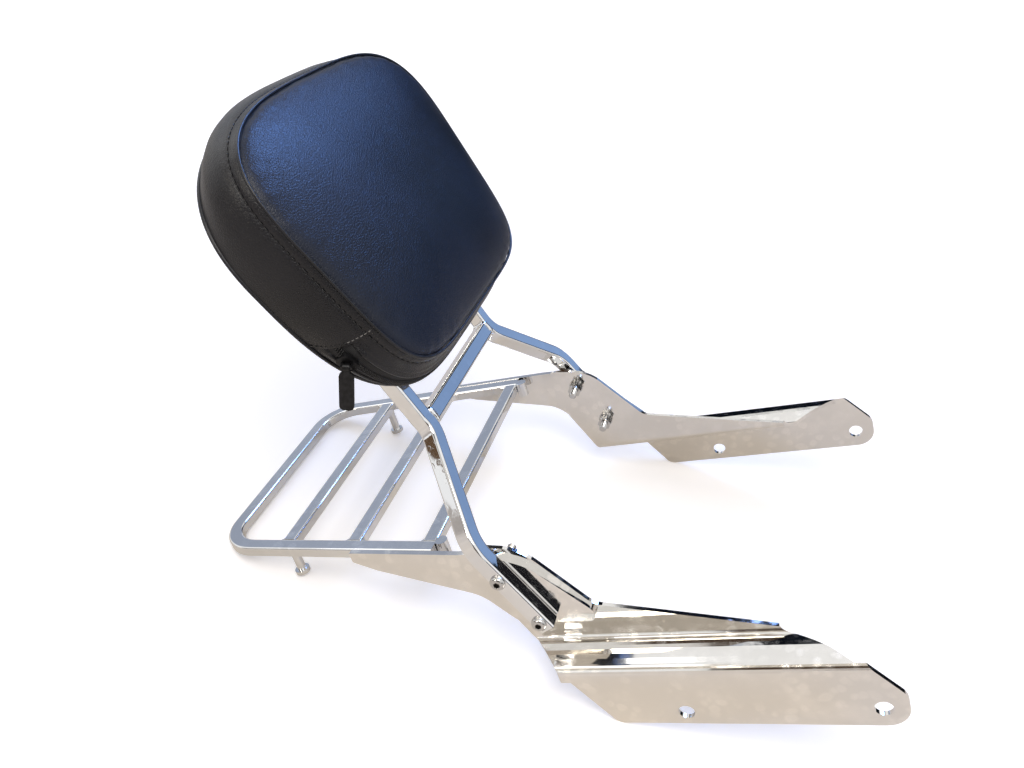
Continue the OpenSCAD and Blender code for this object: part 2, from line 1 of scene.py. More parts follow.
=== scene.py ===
# %% [markdown]
# # A motorbike backrest on a small luggage rack
#
# The object is a sissy bar: a stitched leather pad on a frame of bent square bar, with a
# luggage rack behind it and two folded brackets that bolt to the bike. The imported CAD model
# gives every rigid piece, in metres, standing as it rests. This file gives those pieces their
# finish, and it models what a solid modeller can't make look real: the sewn pad with its zip,
# the domed screws and the polished welds.

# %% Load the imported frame
import math
import random

import bmesh
import bpy
from mathutils import Matrix, Vector


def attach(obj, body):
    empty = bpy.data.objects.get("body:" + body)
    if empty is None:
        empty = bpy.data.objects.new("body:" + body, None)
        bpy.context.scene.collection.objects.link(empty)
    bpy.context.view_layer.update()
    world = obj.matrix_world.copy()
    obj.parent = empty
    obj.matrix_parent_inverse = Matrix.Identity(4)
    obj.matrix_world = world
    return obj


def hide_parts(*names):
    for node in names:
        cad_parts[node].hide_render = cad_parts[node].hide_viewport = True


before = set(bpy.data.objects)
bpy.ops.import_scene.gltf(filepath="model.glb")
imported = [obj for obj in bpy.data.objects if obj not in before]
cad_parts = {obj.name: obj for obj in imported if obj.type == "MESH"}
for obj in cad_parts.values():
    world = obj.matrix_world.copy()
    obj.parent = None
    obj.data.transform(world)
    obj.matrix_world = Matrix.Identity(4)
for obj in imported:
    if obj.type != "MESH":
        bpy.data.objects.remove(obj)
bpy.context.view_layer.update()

# %% [markdown]
# ## Camera
#
# The photograph was taken from above the object's right side with the camera rolled a few
# degrees. The frame's parallel bars fix the lens and the three directions of the camera, so
# they're written here as vectors and not found by eye.

# %% Place the camera
CAMERA_AT = Vector((0.0706, -0.5427, 0.4939))
LOOK_RIGHT = Vector((0.962004, 0.259777, 0.084054))
LOOK_DOWN = Vector((0.208567, -0.500493, -0.840242))
LOOK_ALONG = Vector((-0.176207, 0.825847, -0.535657))
SENSOR_MM = 36.0
FOCAL_PX = 900.0
IMAGE_WIDTH_PX = 1024

scene = bpy.context.scene
scene.view_settings.view_transform = "Standard"
camera_data = bpy.data.cameras.new("camera")
camera_data.sensor_width = SENSOR_MM
camera_data.lens = SENSOR_MM * FOCAL_PX / IMAGE_WIDTH_PX
camera = bpy.data.objects.new("camera", camera_data)
scene.collection.objects.link(camera)
turn = Matrix((LOOK_RIGHT, -LOOK_DOWN, -LOOK_ALONG)).transposed().to_4x4()
camera.matrix_world = Matrix.Translation(CAMERA_AT) @ turn
scene.camera = camera
print("lens", round(camera_data.lens, 2), "mm")

# %% [markdown]
# ## Shader maths as expressions
#
# A procedural finish is a sum of small patterns. Blender writes each step as a node, which is
# long to read, so one class wraps a socket and lets a plain + or * build the node. A second
# one holds a material and the patterns that several finishes share.

# %% The socket class
MIX_FACTOR, MIX_FIRST, MIX_SECOND, MIX_RESULT = 0, 6, 7, 2


class Wire:
    """A shader socket that takes part in sums. kind is value, color, vector or shader."""

    def __init__(self, tree, socket, kind="value"):
        self.tree, self.socket, self.kind = tree, socket, kind

    def plug(self, target, value):
        """Links a wire to an input, or writes a plain value there."""
        if isinstance(value, Wire):
            self.tree.links.new(value.socket, target)
        elif hasattr(value, "__len__") and len(value) == 3 and target.type == "RGBA":
            target.default_value = (*value, 1)
        else:
            target.default_value = value

    def node(self, kind, settings=None, sockets=None, out=0, gives="value"):
        made = self.tree.nodes.new(kind)
        for key, value in (settings or {}).items():
            setattr(made, key, value)
        for key, value in (sockets or {}).items():
            self.plug(made.inputs[key], value)
        return Wire(self.tree, made.outputs[out], gives)

    def math(self, op, other):
        inputs = {0: self, 1: other}
        if any(isinstance(w, Wire) and w.kind == "vector" for w in (self, other)):
            return self.node("ShaderNodeVectorMath", {"operation": op}, inputs, gives="vector")
        return self.node("ShaderNodeMath", {"operation": op}, inputs)

    def __add__(self, other): return self.math("ADD", other)
    def __mul__(self, other): return self.math("MULTIPLY", other)

    def ramp(self, low, high):
        """Takes low..high of this value smoothly to 0..1 and holds it at both ends."""
        return self.node("ShaderNodeMapRange", {"interpolation_type": "SMOOTHSTEP"},
                         {"Value": self, "From Min": low, "From Max": high})

    def mix(self, first, second):
        """A colour between first, where this value is 0, and second, where it is 1."""
        made = self.tree.nodes.new("ShaderNodeMix")
        made.data_type = "RGBA"
        self.plug(made.inputs[MIX_FACTOR], self)
        self.plug(made.inputs[MIX_FIRST], first)
        self.plug(made.inputs[MIX_SECOND], second)
        return Wire(self.tree, made.outputs[MIX_RESULT], "color")


class Finish:
    """A material under construction, with the patterns that several finishes share."""

    def __init__(self, name):
        self.material = bpy.data.materials.new(name)
        self.material.use_nodes = True
        self.tree = self.material.node_tree
        self.shader = self.tree.nodes["Principled BSDF"]
        place_in_object = self.tree.nodes.new("ShaderNodeTexCoord").outputs["Object"]
        self.wire = Wire(self.tree, place_in_object, "vector")

    def noise(self, scale, detail=3.0, rough=0.5):
        return self.wire.node("ShaderNodeTexNoise", {}, {
            "Vector": self.wire, "Scale": scale, "Detail": detail, "Roughness": rough})

    def cells(self, scale, at, feature="F1"):
        return self.wire.node("ShaderNodeTexVoronoi", {"feature": feature},
                              {"Vector": at, "Scale": scale})

    def put(self, **values):
        """Sets inputs of the shader; an underscore stands for a space in an input's name."""
        for key, value in values.items():
            self.wire.plug(self.shader.inputs[key.replace("_", " ")], value)

    def bump(self, height, depth, strength):
        relief = self.wire.node("ShaderNodeBump", {}, {
            "Height": height, "Distance": depth, "Strength": strength}, gives="vector")
        self.wire.plug(self.shader.inputs["Normal"], relief)


print("shader expressions ready")

# %% [markdown]
# ## Floor, backdrop and light
#
# The photograph is a cut-out on white with soft grey shadows. A world that is white only to
# the camera, to mirrors and through glass gives that background, and a dimmer one with the
# lamps lights the object. To the camera the floor is white and glows more the farther it lies
# from the object, so that it fades into the background. To a mirror it is a warm grey, because
# the polished sides of the real brackets show a cream floor.

# %% World and floor
SOFT_LIGHT = 0.55
SOFT_COLOUR = (0.97, 0.95, 1.0)
FLOOR_HALF = 6.0
FLOOR_WHITE = (0.93, 0.93, 0.935)
FLOOR_SEEN_IN_METAL = ((0.68, 0.62, 0.54), (0.80, 0.735, 0.65))
GLOW_NEAR, GLOW_FAR = (0.28, 0.265, 0.255), (0.66, 0.66, 0.66)
GLOW_FROM_M, GLOW_TO_M = 0.35, 1.6


def seen_directly(tree):
    """1 for rays from the camera, a mirror or glass."""
    path = tree.nodes.new("ShaderNodeLightPath")
    camera_rays, glossy, through = (Wire(tree, path.outputs[name]) for name in (
        "Is Camera Ray", "Is Glossy Ray", "Is Transmission Ray"))
    return camera_rays.math("MAXIMUM", glossy).math("MAXIMUM", through)


world = bpy.data.worlds.new("studio")
scene.world = world
world.use_nodes = True
direct = seen_directly(world.node_tree)
white_room = world.node_tree.nodes["Background"]
white_room.inputs["Color"].default_value = (1.0, 1.0, 1.0, 1)
soft_room = direct.node("ShaderNodeBackground", {}, {
    "Color": SOFT_COLOUR, "Strength": SOFT_LIGHT}, gives="shader")
white_seen = Wire(world.node_tree, white_room.outputs[0], "shader")
both = direct.node("ShaderNodeMixShader", {}, {0: direct, 1: soft_room, 2: white_seen},
                   gives="shader")
world.node_tree.links.new(both.socket, world.node_tree.nodes["World Output"].inputs["Surface"])

floor_mesh = bpy.data.meshes.new("floor")
corners = [(x * FLOOR_HALF, y * FLOOR_HALF, 0) for x, y in ((-1, -1), (1, -1), (1, 1), (-1, 1))]
floor_mesh.from_pydata(corners, [], [(0, 1, 2, 3)])
floor = bpy.data.objects.new("floor", floor_mesh)
scene.collection.objects.link(floor)

ground = Finish("floor_paper")
light_path = ground.tree.nodes.new("ShaderNodeLightPath")
camera_ray = Wire(ground.tree, light_path.outputs["Is Camera Ray"])
tone = ground.noise(3.0).ramp(0.3, 0.7).mix(*FLOOR_SEEN_IN_METAL)
away = ground.wire.node("ShaderNodeVectorMath", {"operation": "LENGTH"}, {0: ground.wire}, out=1)
glow = away.ramp(GLOW_FROM_M, GLOW_TO_M).mix(GLOW_NEAR, GLOW_FAR)
ground.put(Base_Color=camera_ray.mix(tone, FLOOR_WHITE), Roughness=0.9,
           Emission_Color=camera_ray.mix((0, 0, 0), glow), Emission_Strength=1.0)
floor_mesh.materials.append(ground.material)
print("floor", FLOOR_HALF * 2, "m wide")

# %% [markdown]
# A mirror shows what stands round it. In the photograph the bars' fronts show a blue window
# and a dark doorway, and the folds of the brackets show the brown room behind the camera.
# Cards that show only in reflections put those tones back without lighting the floor. The
# leather catches them too: the window is the blue sheen of the pad.

# %% Lamps and cards
CENTRE = Vector((0.0, 0.0, 0.12))
CARD_SHADE = 0.82
LAMPS = (
    # name, azimuth, height, metres away, size, watts, colour
    ("warm_key", -75, 58, 1.6, 0.9, 12, (1.0, 0.95, 0.88)),
    ("blue_window", 72, 52, 1.7, 0.7, 6, (0.30, 0.50, 1.0)),
    ("left_fill", 170, 45, 1.9, 1.2, 5, (0.95, 0.97, 1.0)),
)
CARDS = (
    # name, azimuth, height, metres away, width, height of the card, colour
    ("card_dark_wall", 66, 12, 3.7, 6.2, 2.9, (0.004, 0.006, 0.010)),
    ("card_sky_low", 62, 16, 3.0, 1.75, 0.74, (0.27, 0.41, 0.70)),
    ("card_window", 76, 49, 3.0, 1.30, 0.90, (3.4, 7.4, 20.0)),
    ("card_dark_ground", 66, -1.5, 1.3, 1.90, 0.18, (0.004, 0.006, 0.010)),
    ("card_dark_high", 98, 44, 3.0, 0.95, 0.50, (0.006, 0.008, 0.014)),
    ("card_dark_low", 35, 5.5, 3.0, 1.10, 0.66, (0.006, 0.007, 0.010)),
    ("card_dark_mid", 50, 28, 3.0, 1.30, 0.45, (0.008, 0.010, 0.020)),
    ("card_grey", 130, 15, 3.0, 2.20, 0.90, (0.42, 0.47, 0.58)),
    ("card_seam_glint", -124, 30, 2.9, 0.34, 1.40, (10.0, 9.2, 7.8)),
    ("card_beige_wall", -148, 45, 3.0, 2.50, 1.70, (0.66, 0.60, 0.52)),
    ("card_room_right", -40, 7.5, 3.0, 2.60, 0.70, (0.020, 0.020, 0.024)),
    ("card_room_behind", -90, 16, 3.0, 2.00, 1.75, (0.10, 0.070, 0.05)),
    ("card_room_left", -142, 7.5, 3.0, 2.40, 0.70, (0.14, 0.085, 0.05)),
)


def aim(made, azimuth, height, away, front):
    """Stands an object off the centre in a direction, with its front axis to the centre."""
    a, h = math.radians(azimuth), math.radians(height)
    direction = Vector((math.cos(a) * math.cos(h), math.sin(a) * math.cos(h), math.sin(h)))
    made.location = CENTRE + direction * away
    made.rotation_euler = (CENTRE - made.location).to_track_quat(front, "Y").to_euler()
    scene.collection.objects.link(made)


def lamp(name, azimuth, height, away, size, watts, color):
    data = bpy.data.lights.new(name, "AREA")
    data.shape, data.size, data.energy, data.color = "DISK", size, watts, color
    aim(bpy.data.objects.new(name, data), azimuth, height, away, "-Z")


def card(name, azimuth, height, away, width, tall, colour):
    """A glowing panel that faces the object and shows only in reflections."""
    mesh = bpy.data.meshes.new(name)
    w, t = width / 2, tall / 2
    mesh.from_pydata([(-w, -t, 0), (w, -t, 0), (w, t, 0), (-w, t, 0)], [], [(0, 1, 2, 3)])
    made = bpy.data.objects.new(name, mesh)
    aim(made, azimuth, height, away, "Z")
    glow = Finish(name)
    cloud = glow.noise(0.9, 2.0).ramp(0.25, 0.75)
    darker = [c * CARD_SHADE for c in colour]
    glow.put(Base_Color=(0, 0, 0), Roughness=1.0, Specular_IOR_Level=0.0,
             Emission_Color=cloud.mix(darker, colour), Emission_Strength=1.0)
    mesh.materials.append(glow.material)
    made.visible_camera = False
    made.visible_diffuse = False
    made.visible_shadow = False
    made.visible_volume_scatter = False


for row in LAMPS:
    lamp(*row)
for row in CARDS:
    card(*row)
print(len(LAMPS), "lamps and", len(CARDS), "cards in place")

# %% [markdown]
# ## Finishes of the metal
#
# The frame, the rack and the brackets are polished until they mirror. What tells real chrome
# from a perfect mirror is a film of dried water spots and fingerprints, so a cloudy pattern
# lifts the roughness and lightens the tint a little, with rings where drops dried.

# %% Polished metal
def polished(name, tint, haze, stains, least):
    """haze is the roughness that the film adds to the least one, and stains its strength."""
    f = Finish(name)
    clouds = f.noise(38.0, 5.0, 0.6).ramp(0.42, 0.72)
    warped = f.wire + f.noise(75.0, 3.0) * 0.008
    drop = f.cells(115.0, warped)
    where = f.noise(24.0, 2.0).ramp(0.40, 0.56)
    rims = drop.ramp(0.22, 0.32) * drop.ramp(0.48, 0.36) * where
    prints = drop.ramp(0.36, 0.24) * where
    film = (clouds * 0.45 + rims * 0.28 + prints * 0.40) * stains
    clean = [c * 0.90 for c in tint]
    dusty = [min(c * 1.07, 0.96) for c in tint]
    f.put(Base_Color=film.mix(clean, dusty), Metallic=1.0, Roughness=film * haze + least)
    f.bump(f.noise(140.0, 3.0) * 0.5 + rims * stains, 0.00003, 0.3)
    return f.material


chrome_bar = polished("chrome_bar", (0.90, 0.905, 0.91), 0.06, 0.45, 0.03)
chrome_sheet = polished("chrome_sheet", (0.87, 0.85, 0.82), 0.20, 1.0, 0.05)
chrome_rack = polished("chrome_rack", (0.86, 0.865, 0.87), 0.12, 0.8, 0.06)
chrome_bolt = polished("chrome_bolt", (0.62, 0.61, 0.60), 0.14, 0.4, 0.12)
# Near-black painted shade for the inside of the screws' hex sockets.
socket_painted_shade = polished("socket_painted_shade", (0.07, 0.065, 0.06), 0.2, 0.5, 0.35)
print("metal finishes ready")

# %% Give the metal nodes their finish
METAL_OF = {
    chrome_bar: ("leg_right", "leg_left", "crossbar", "upper_hoop", "pad_strap_lower",
                 "pad_strap_upper"),
    chrome_rack: ("rack_rail", "rack_bar_rear", "rack_bar_middle", "rack_bar_front",
                  "rack_boss_right", "rack_boss_left", "support_stud_right",
                  "support_stud_left"),
    chrome_sheet: ("rack_plate_right", "rack_plate_left", "bracket_right", "bracket_left"),
    chrome_bolt: ("leg_bolts", "leg_washers", "leg_lock_washers", "leg_nuts", "pad_bolts",
                  "pad_washers", "pad_tee_nuts"),
}


def dress(node, material):
    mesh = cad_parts[node].data
    mesh.materials.clear()
    mesh.materials.append(material)


for material, names in METAL_OF.items():
    for name in names:
        dress(name, material)
print("dressed", sum(len(names) for names in METAL_OF.values()), "metal nodes")

# %% [markdown]
# ## Finishes of the pad
#
# The cover is dark blue-black leather. Its grain is a field of small cells with a finer
# crackle, and the wide panel catches the window as a soft blue sheen. The band round the side
# is the same hide, blacker and a little glossier.

# %% Leather, thread and zip
def leather(name, dark, light, rough, grain=1.0, shine=0.42):
    f = Finish(name)
    warp = f.wire + f.noise(120.0, 2.0) * 0.003
    cells = f.cells(700.0, warp)
    creases = f.cells(640.0, warp, "DISTANCE_TO_EDGE").ramp(0.0, 0.25)
    fine = f.noise(1500.0, 3.0)
    hide = f.noise(9.0, 4.0).ramp(0.35, 0.7)
    f.put(Base_Color=hide.mix(dark, light), Roughness=hide * 0.08 + creases * -0.06 + rough,
          Specular_IOR_Level=shine)
    f.bump(creases * 0.6 + cells * -0.4 + fine * 0.2, 0.00018 * grain, 0.7)
    return f.material


def plain(name, dark, light, rough, scale, metallic=0.0, depth=0.00004):
    f = Finish(name)
    grain = f.noise(scale, 3.0)
    f.put(Base_Color=grain.ramp(0.3, 0.7).mix(dark, light), Roughness=grain * 0.12 + rough,
          Metallic=metallic)
    f.bump(grain, depth, 0.5)
    return f.material


def weave(name, dark, light):
    f = Finish(name)
    rows = f.wire.node("ShaderNodeTexWave", {"bands_direction": "DIAGONAL"},
                       {"Vector": f.wire, "Scale": 420.0, "Distortion": 1.0})
    f.put(Base_Color=rows.ramp(0.2, 0.8).mix(dark, light), Roughness=0.75)
    f.bump(rows, 0.0001, 0.7)
    return f.material


panel_leather = leather("panel_leather", (0.005, 0.008, 0.018), (0.008, 0.013, 0.030), 0.34,
                        shine=0.30)
band_leather = leather("band_leather", (0.007, 0.007, 0.009), (0.012, 0.012, 0.015), 0.30,
                       grain=1.1, shine=0.36)
piping_leather = leather("piping_leather", (0.006, 0.006, 0.008), (0.012, 0.013, 0.018), 0.30,
                         grain=0.4)
back_leather = leather("back_leather", (0.008, 0.008, 0.009), (0.014, 0.014, 0.015), 0.5)
thread_black = plain("thread_black", (0.004, 0.004, 0.005), (0.010, 0.010, 0.012), 0.45, 2500.0)
thread_pale = plain("thread_pale", (0.07, 0.07, 0.07), (0.26, 0.25, 0.24), 0.6, 1400.0)
zip_weave = weave("zip_weave", (0.004, 0.004, 0.005), (0.016, 0.016, 0.018))
zip_plastic = plain("zip_plastic", (0.006, 0.006, 0.007), (0.014, 0.014, 0.016), 0.28, 900.0)
zip_paint = plain("zip_paint", (0.010, 0.010, 0.011), (0.020, 0.020, 0.022), 0.30, 350.0,
                  metallic=0.6)
board_wood = plain("board_wood", (0.30, 0.20, 0.11), (0.55, 0.40, 0.24), 0.7, 40.0)
foam_cream = plain("foam_cream", (0.72, 0.68, 0.42), (0.86, 0.83, 0.58), 0.9, 700.0,
                   depth=0.0003)

for name, material in (("zip_slider", zip_paint), ("zip_pull", zip_paint),
                       ("pad_board", board_wood), ("pad_foam", foam_cream)):
    dress(name, material)
print("pad finishes ready")

# %% [markdown]
# ## The shape of the pad
#
# The pad's outline is a rounded rectangle with soft sides, a superellipse whose lower corners
# are rounder at the back than at the front. Every pad piece is laid on the same two functions:
# one gives a point of the edge, and one turns the leaning pad into the frame of the object.
# Sizes are in mm, as in the CAD source, and MM turns them into metres.

# %% Pad outline and frame
MM = 0.001
JOINT = Vector((-85.6, 0.0, 150.7))
LEAN = math.radians(47.5)
HALF, LOW, HIGH, MIDDLE = 127.0, 31.5, 216.5, 126.0
DEPTH, CROWN, BULGE, TAPER = 45.0, 13.0, 6.0, 0.1
BAND_LOW, BAND_HIGH = 3.7, 43.2
# How much farther the back seam reaches than the front one: down, up and to each side.
BACK_DOWN, BACK_UP, BACK_OUT = 17.0, 5.0, 2.8
SIDE_BULGE = 0.4
# The superellipse's power at the back seam and its gain at the front one; more is squarer.
LOW_POWER, LOW_POWER_GAIN = 2.7, 2.8
HIGH_POWER, HIGH_POWER_GAIN = 2.4, 0.95
FINE_STEPS = 2000
EDGE_POINTS = 288


def place(down, across, out):
    """A point of the leaning pad, in mm, as a place in the object's frame, in metres."""
    return MM * (JOINT + Vector((down * math.cos(LEAN) + out * math.sin(LEAN), across,
                                 -down * math.sin(LEAN) + out * math.cos(LEAN))))


def signed_power(v, p):
    return math.copysign(abs(v) ** p, v)


def edge(turn_deg, share, outward=0.0, k=1.0):
    """The pad's edge at an angle, shrunk by k; share is 0 at the back seam, 1 at the front."""
    t = math.radians(turn_deg)
    s, c = math.sin(t), math.cos(t)
    swell = BULGE * math.sin(math.pi * min(max(share, 0.0), 1.0))
    low = LOW - BACK_DOWN * (1 - share)
    high = HIGH + BACK_UP * (1 - share) + swell
    half = HALF + BACK_OUT * (1 - share) + SIDE_BULGE * swell
    if s < 0:
        n, reach = LOW_POWER + LOW_POWER_GAIN * share, MIDDLE - low
    else:
        n, reach = HIGH_POWER + HIGH_POWER_GAIN * share, high - MIDDLE
    up = k * signed_power(s, 2 / n)
    return (-MIDDLE - (reach + outward) * up,
            k * (half + outward) * signed_power(c, 2 / n) * (1 + TAPER * up))


def even_turns(count, start=0.0, end=360.0, share=1.0):
    """Angles that lie evenly along the edge and not evenly round the middle."""
    fine = [start + (end - start) * i / FINE_STEPS for i in range(FINE_STEPS + 1)]
    spots = [Vector(edge(t, share)) for t in fine]
    along = [0.0]
    for a, b in zip(spots, spots[1:]):
        along.append(along[-1] + (b - a).length)
    closed = abs(end - start - 360.0) < 1e-6
    steps = count if closed else count - 1
    turns, j = [], 0
    for i in range(count):
        want = along[-1] * i / steps
        while j < FINE_STEPS - 1 and along[j + 1] < want:
            j += 1
        part = (want - along[j]) / max(along[j + 1] - along[j], 1e-9)
        turns.append(fine[j] + (fine[j + 1] - fine[j]) * part)
    return turns, along[-1]


TURNS, ROUND = even_turns(EDGE_POINTS)
print("edge", round(ROUND), "mm long")

# %% [markdown]
# A few small helpers turn rings of points into smooth meshes. The first also sets the piece
# riding on the root body, and names the material slot that it takes its finish from. The only
# body that moves is the zip's pull, and nothing here is fixed to it.

# %% Mesh helpers
SAME_POINT_M = 1e-7


def piece(name, points, faces, material):
    mesh = bpy.data.meshes.new(name)
    mesh.from_pydata([tuple(p) for p in points], [], faces)
    made = bpy.data.objects.new(name, mesh)
    scene.collection.objects.link(made)
    build = bmesh.new()
    build.from_mesh(mesh)
    bmesh.ops.remove_doubles(build, verts=build.verts, dist=SAME_POINT_M)
    bmesh.ops.recalc_face_normals(build, faces=build.faces)
    build.to_mesh(mesh)
    build.free()
    for poly in mesh.polygons:
        poly.use_smooth = True
    mesh.materials.append(material)
    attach(made, "root")
    return made


def circle(count):
    return [2 * math.pi * i / count for i in range(count)]


def skin_rings(rings, closed_round=True, loop=False):
    """Faces between rings of equal length. loop joins the last ring to the first."""
    n = len(rings[0])
    faces = []
    for j in range(len(rings) if loop else len(rings) - 1):
        nxt = (j + 1) % len(rings)
        for i in range(n if closed_round else n - 1):
            k = (i + 1) % n
            faces.append((j * n + i, j * n + k, nxt * n + k, nxt * n + i))
    return [p for r in rings for p in r], faces


def skin_panel(rings, middle):
    """Faces between rings, and a fan from the last ring to the middle."""
    points, faces = skin_rings(rings)
    n = len(rings[0])
    last = len(points) - n
    points.append(middle)
    return points, faces + [(last + i, last + (i + 1) % n, last + n) for i in range(n)]


def add_rod(points, faces, rings, loop=False):
    """Adds rings to a growing mesh, as a rod with two flat ends or as a loop with none."""
    base, n = len(points), len(rings[0])
    more, quads = skin_rings(rings, loop=loop)
    points += more
    faces += [tuple(base + v for v in quad) for quad in quads]
    if not loop:
        faces.append(tuple(range(base, base + n)))
        faces.append(tuple(range(len(points) - n, len(points))))


def round_y_axis(centre_xz, tilt, radius, angle, y):
    """A point round an axis along Y, in mm, as a place in metres."""
    u, v = radius * math.cos(angle), radius * math.sin(angle)
    return MM * Vector((centre_xz[0] + u * math.cos(tilt) + v * math.sin(tilt), y,
                        centre_xz[1] - u * math.sin(tilt) + v * math.cos(tilt)))


print("helpers ready")

# %% [markdown]
# ## Front panel
#
# The panel is one piece of hide pulled over foam: high in the middle, rolling over quickly at
# the seam, with faint pulls where the seam gathers it. It is modelled as rings that shrink
# towards the middle, so that the edge loops follow the seam as they do on a real cover.

# %% Front panel
CROWN_POWER, SEAM_RISE = 2.6, 1.8
SHOULDER_MM, SHOULDER_POWER = 1.4, 14
ROLL_MM, ROLL_FROM, ROLL_WIDTH = 3.2, 0.955, 0.045
PULL_FROM, PULL_WIDTH = 0.80, 0.20
BROAD_PULL_MM, BROAD_PULLS = 0.22, 31
FINE_PULL_MM, FINE_PULLS = 0.12, 67
PULL_DRIFT, PULL_DRIFTS = 2.0, 5
PULL_SIDEWAYS = 0.5
TUCK_MM = -1.2
PANEL_RINGS = (1.0, 0.994, 0.985, 0.972, 0.955, 0.93, 0.90, 0.86, 0.81, 0.75, 0.68, 0.60,
               0.51, 0.42, 0.33, 0.24, 0.16, 0.08)


def crown_height(k):
    """Height of the panel where its rings have shrunk to k: 1 at the seam, 0 in the middle."""
    roll = ROLL_MM * max(0.0, (k - ROLL_FROM) / ROLL_WIDTH) ** 2
    crown = DEPTH + SEAM_RISE + CROWN * (1 - k ** CROWN_POWER)
    return crown - roll + SHOULDER_MM * (1 - k ** SHOULDER_POWER)


def pull(turn_deg, k):
    """Faint folds that run in from the seam and die out."""
    t = math.radians(turn_deg)
    near = max(0.0, (k - PULL_FROM) / PULL_WIDTH) ** 2
    broad = math.sin(t * BROAD_PULLS + PULL_DRIFT * math.sin(t * PULL_DRIFTS))
    return near * (BROAD_PULL_MM * broad + FINE_PULL_MM * math.sin(t * FINE_PULLS))


front_rings = []
for k in PANEL_RINGS:
    tuck = TUCK_MM if k == 1.0 else 0.0
    front_rings.append([place(*edge(t, 1.0, tuck + pull(t, k) * PULL_SIDEWAYS, k),
                              crown_height(k) + pull(t, k)) for t in TURNS])
points, faces = skin_panel(front_rings, place(-MIDDLE, 0.0, crown_height(0.0)))
front_panel = piece("pad_cover_front", points, faces, panel_leather)
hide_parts("pad_front_panel")
print("front panel", len(faces), "faces")

# %% [markdown]
# ## Side band and zip gusset
#
# The band runs round the sides and the top. Under the pad it stops at a sewn join, and a
# gusset with the zip takes its place: a strip below the front seam, a folded lip, the zip's
# tape, and a narrow strip above the back seam. Each is a profile of heights above the pad's
# back, with how far the leather stands out there, that is carried along the edge.

# %% Side band
GUSSET = (192.5, 347.5)
JOIN_SLANT = 3.5
BAND_POINTS, GUSSET_POINTS = 240, 150
GUSSET_UNDER_BAND = 2.0
BAND_PROUD = 0.35
BAND_PULL, BAND_PULL_REACH = 0.25, 230
RISE_DEG, SUNK_MM = 4.5, -0.6
SUNK_FROM, SUNK_TO = 2, 34
BACK_SIDE = [(0.6, -1.6), (1.6, -0.5)]
SEAM_SIDE = [(36.8, 0.35), (38.1, -0.2), (38.8, -0.5), (39.5, -0.2), (40.8, 0.4), (43.0, 0.3),
             (45.0, -0.6), (46.0, -1.8)]
BAND_MIDDLE = [(3.2, 0.0), (7, 0.2), (12, 0.35), (18, 0.45), (24, 0.45), (30, 0.4), (34, 0.35)]
LOW_LIP = [(3.0, 0.3), (5.5, 1.1), (8.0, 1.9), (9.6, 2.2), (10.6, 2.0), (11.1, 1.2), (11.2, 0.4)]
UNDER_ZIP = [(18.0, 0.3), (26.8, 0.4)]
HIGH_LIP = [(27.0, 1.6), (27.6, 2.6), (28.6, 3.0), (29.6, 2.7), (30.6, 1.7), (31.2, 1.5),
            (32.0, 1.7), (32.9, 1.3), (34.0, 0.6)]


def band_share(z):
    return (z - BAND_LOW) / (BAND_HIGH - BAND_LOW)


def soft_step(v):
    v = min(max(v, 0.0), 1.0)
    return v * v * (3 - 2 * v)


def slanted(t, z):
    """The band's angle at a height: its two ends run slantwise, like the sewn join."""
    middle_turn = (GUSSET[0] + GUSSET[1] - 360.0) / 2
    span = (GUSSET[0] - GUSSET[1] + 360.0) / 2
    return middle_turn + (t - middle_turn) * (1 + JOIN_SLANT * (0.5 - band_share(z)) / span)


def straight(t, z):
    return t


def sunk_at_ends(t, z, proud):
    """The gusset's folds start flat under the band's flap and rise within a few degrees."""
    away = min(t - GUSSET[0], GUSSET[1] - t)
    rise = soft_step(away / RISE_DEG)
    return proud if z > SUNK_TO or z < SUNK_FROM else SUNK_MM + (proud - SUNK_MM) * rise


def even_lift(t, z, proud):
    return proud + BAND_PROUD


def strip(name, turns, profile, turn_at, lift_at):
    rings = []
    for z, proud in profile:
        ring = []
        for t in turns:
            a = turn_at(t, z)
            folds = BAND_PULL * pull(a, min(1.0, PULL_FROM + z / BAND_PULL_REACH))
            ring.append(place(*edge(a, band_share(z), lift_at(a, z, proud) + folds), z))
        rings.append(ring)
    points, faces = skin_rings(rings, closed_round=False)
    return piece(name, points, faces, band_leather)


band_turns, band_length = even_turns(BAND_POINTS, GUSSET[1] - 360.0, GUSSET[0])
side_band = strip("pad_cover_side", band_turns, BACK_SIDE + BAND_MIDDLE + SEAM_SIDE,
                  slanted, even_lift)
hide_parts("pad_side_band")

gusset_turns, gusset_length = even_turns(GUSSET_POINTS, GUSSET[0] - GUSSET_UNDER_BAND,
                                         GUSSET[1] + GUSSET_UNDER_BAND)
strip("pad_zip_gusset", gusset_turns, BACK_SIDE + LOW_LIP + UNDER_ZIP + HIGH_LIP + SEAM_SIDE,
      straight, sunk_at_ends)
print("band", round(band_length), "mm, gusset", round(gusset_length), "mm")

# %% [markdown]
# ## Back panel, welt and piping
#
# The back is a flat panel over the board. A thin welt is sewn into the front seam, and a
# rounder piping into the back one; both are tubes that follow the edge.

# %% Back panel and piping
BACK_RINGS = ((1.0, 0.9), (0.985, 0.45), (0.96, 0.25), (0.8, 0.2), (0.5, 0.2), (0.2, 0.2))
BACK_FLAT, BACK_INSET = 0.2, -1.5
WELT_R, WELT_Z, WELT_PROUD = 0.95, DEPTH + 0.9, 0.0
PIPING_R, PIPING_Z, PIPING_PROUD = 1.45, 1.6, -0.4
TUBE_SIDES = 10

back_rings = [[place(*edge(t, 0.0, BACK_INSET, k), z) for t in TURNS] for k, z in BACK_RINGS]
points, faces = skin_panel(back_rings, place(-MIDDLE, 0.0, BACK_FLAT))
back_panel = piece("pad_cover_back", points, faces, back_leather)
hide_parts("pad_back_panel")


